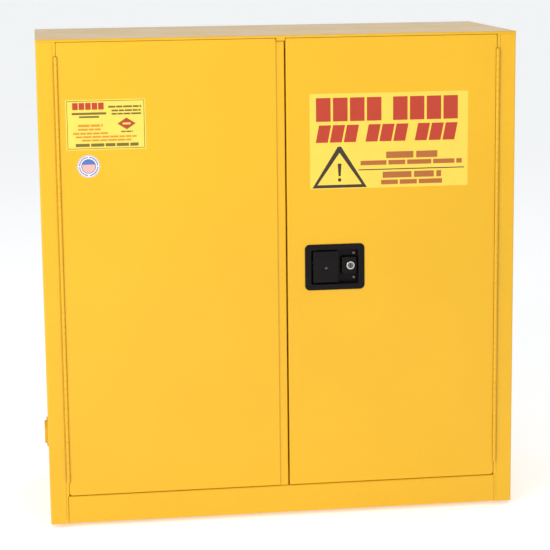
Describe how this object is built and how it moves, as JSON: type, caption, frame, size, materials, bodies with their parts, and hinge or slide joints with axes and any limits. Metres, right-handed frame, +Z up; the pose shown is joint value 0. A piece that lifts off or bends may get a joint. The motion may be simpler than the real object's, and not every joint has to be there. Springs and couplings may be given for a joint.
{
  "type": "flammable storage cabinet",
  "caption": "Double-walled steel safety cabinet with hinged doors, recessed paddle latch, bolts, raised sill, shelf, side vents and levelling feet.",
  "frame": {"origin": "on the floor at the centre of the cabinet's footprint", "axes": "+X to the right seen from the front, +Y towards the back, +Z up; the doors face -Y"},
  "size_m": [1.1141, 0.4622, 1.1176],
  "materials": {
    "yellow_enamel": "gloss enamel",
    "bare_steel": "zinc plated",
    "galvanised": "galvanised sheet",
    "black_enamel": "semi-gloss",
    "chrome_lock": "polished",
    "nylon": "moulded",
    "label_vinyl": "printed vinyl",
    "sticker_vinyl": "printed vinyl",
    "vent_enamel": "enamel",
    "arrester_mesh": "perforated",
    "ground_brass": "plain"
  },
  "bodies": {
    "cabinet": {"outer_side_left": "yellow_enamel", "outer_side_right": "yellow_enamel", "outer_back": "yellow_enamel", "outer_top": "yellow_enamel", "outer_bottom": "yellow_enamel", "inner_side_left": "yellow_enamel", "inner_side_right": "yellow_enamel", "inner_back": "yellow_enamel", "inner_top": "yellow_enamel", "inner_floor": "yellow_enamel", "wall_spacers": "bare_steel", "header_channel": "yellow_enamel", "door_sill": "yellow_enamel", "jamb_left": "yellow_enamel", "jamb_right": "yellow_enamel", "frame_hinge_leaf_left": "yellow_enamel", "frame_hinge_leaf_right": "yellow_enamel", "hinge_pins": "bare_steel", "shelf_standards": "bare_steel", "shelf_clips": "bare_steel", "vent_pipes": "yellow_enamel", "flame_arresters": "arrester_mesh", "foot_nuts": "bare_steel", "ground_stud": "ground_brass", "ground_nut": "ground_brass"},
    "left_door": {"left_door_skin": "yellow_enamel", "left_door_liner": "yellow_enamel", "astragal_strip": "yellow_enamel", "left_door_hinge_leaf": "yellow_enamel", "left_bolt_guides": "nylon", "rating_label": "label_vinyl", "round_sticker": "sticker_vinyl"},
    "left_upper_bolt": {"left_upper_bolt": "bare_steel"},
    "left_lower_bolt": {"left_lower_bolt": "bare_steel"},
    "right_door": {"right_door_skin": "yellow_enamel", "right_door_liner": "yellow_enamel", "right_door_hinge_leaf": "yellow_enamel", "latch_housing": "black_enamel", "housing_rivets": "bare_steel", "paddle_pin": "black_enamel", "paddle_spring": "bare_steel", "lock_barrel": "chrome_lock", "cam_pivot": "bare_steel", "rod_guides": "nylon", "warning_label": "label_vinyl"},
    "paddle": {"paddle": "black_enamel"},
    "lock_plug": {"lock_plug": "chrome_lock"},
    "latch_cam": {"latch_cam": "bare_steel"},
    "upper_rod": {"upper_rod": "bare_steel"},
    "lower_rod": {"lower_rod": "bare_steel"},
    "centre_bolt": {"centre_bolt": "bare_steel"},
    "shelf": {"shelf": "galvanised"},
    "vent_cap_left": {"vent_cap_left": "vent_enamel"},
    "vent_cap_right": {"vent_cap_right": "vent_enamel"},
    "foot_front_left": {"foot_front_left": "bare_steel"},
    "foot_front_right": {"foot_front_right": "bare_steel"},
    "foot_rear_left": {"foot_rear_left": "bare_steel"},
    "foot_rear_right": {"foot_rear_right": "bare_steel"}
  },
  "joints": [
    {"name": "left_door_swing", "type": "hinge", "parent": "cabinet", "child": "left_door", "pos_m": [-0.503, -0.2296, 0.59], "axis": [0, 0, -1], "range_deg": [0, 175]},
    {"name": "right_door_swing", "type": "hinge", "parent": "cabinet", "child": "right_door", "pos_m": [0.503, -0.2296, 0.59], "axis": [0, 0, 1], "range_deg": [0, 175]},
    {"name": "left_upper_bolt_shoot", "type": "slide", "parent": "left_door", "child": "left_upper_bolt", "axis": [0, 0, 1], "range_m": [0, 0.014]},
    {"name": "left_lower_bolt_shoot", "type": "slide", "parent": "left_door", "child": "left_lower_bolt", "axis": [0, 0, -1], "range_m": [0, 0.014]},
    {"name": "paddle_pull", "type": "hinge", "parent": "right_door", "child": "paddle", "pos_m": [0.076, -0.223, 0.584], "axis": [0, 0, -1], "range_deg": [0, 30], "stiffness_Nm_per_rad": 0.5, "springref_deg": -17.19},
    {"name": "lock_turn", "type": "hinge", "parent": "right_door", "child": "lock_plug", "pos_m": [0.1599, -0.2286, 0.5852], "axis": [0, 1, 0], "range_deg": [0, 90]},
    {"name": "latch_cam_turn", "type": "hinge", "parent": "right_door", "child": "latch_cam", "pos_m": [0.038, -0.2, 0.584], "axis": [0, -1, 0], "range_deg": [0, 36]},
    {"name": "upper_rod_lift", "type": "slide", "parent": "right_door", "child": "upper_rod", "axis": [0, 0, 1], "range_m": [0, 0.0094]},
    {"name": "lower_rod_drop", "type": "slide", "parent": "right_door", "child": "lower_rod", "axis": [0, 0, -1], "range_m": [0, 0.00959]},
    {"name": "centre_bolt_shoot", "type": "slide", "parent": "right_door", "child": "centre_bolt", "axis": [-1, 0, 0], "range_m": [0, 0.01079]},
    {"name": "shelf_lift", "type": "slide", "parent": "cabinet", "child": "shelf", "axis": [0, 0, 1], "range_m": [0, 0.08]},
    {"name": "vent_cap_left_unscrew", "type": "slide", "parent": "cabinet", "child": "vent_cap_left", "axis": [-1, 0, 0], "range_m": [0, 0.025]},
    {"name": "vent_cap_right_unscrew", "type": "slide", "parent": "cabinet", "child": "vent_cap_right", "axis": [1, 0, 0], "range_m": [0, 0.025]},
    {"name": "foot_front_left_screw", "type": "slide", "parent": "cabinet", "child": "foot_front_left", "axis": [0, 0, -1], "range_m": [0, 0.016]},
    {"name": "foot_front_right_screw", "type": "slide", "parent": "cabinet", "child": "foot_front_right", "axis": [0, 0, -1], "range_m": [0, 0.016]},
    {"name": "foot_rear_left_screw", "type": "slide", "parent": "cabinet", "child": "foot_rear_left", "axis": [0, 0, -1], "range_m": [0, 0.016]},
    {"name": "foot_rear_right_screw", "type": "slide", "parent": "cabinet", "child": "foot_rear_right", "axis": [0, 0, -1], "range_m": [0, 0.016]}
  ],
  "couplings": [
    {"joint": "latch_cam_turn", "follows": "upper_rod_lift", "rad_per_m": 66.81},
    {"joint": "lower_rod_drop", "follows": "upper_rod_lift", "ratio": 1},
    {"joint": "centre_bolt_shoot", "follows": "upper_rod_lift", "ratio": 1.125}
  ]
}
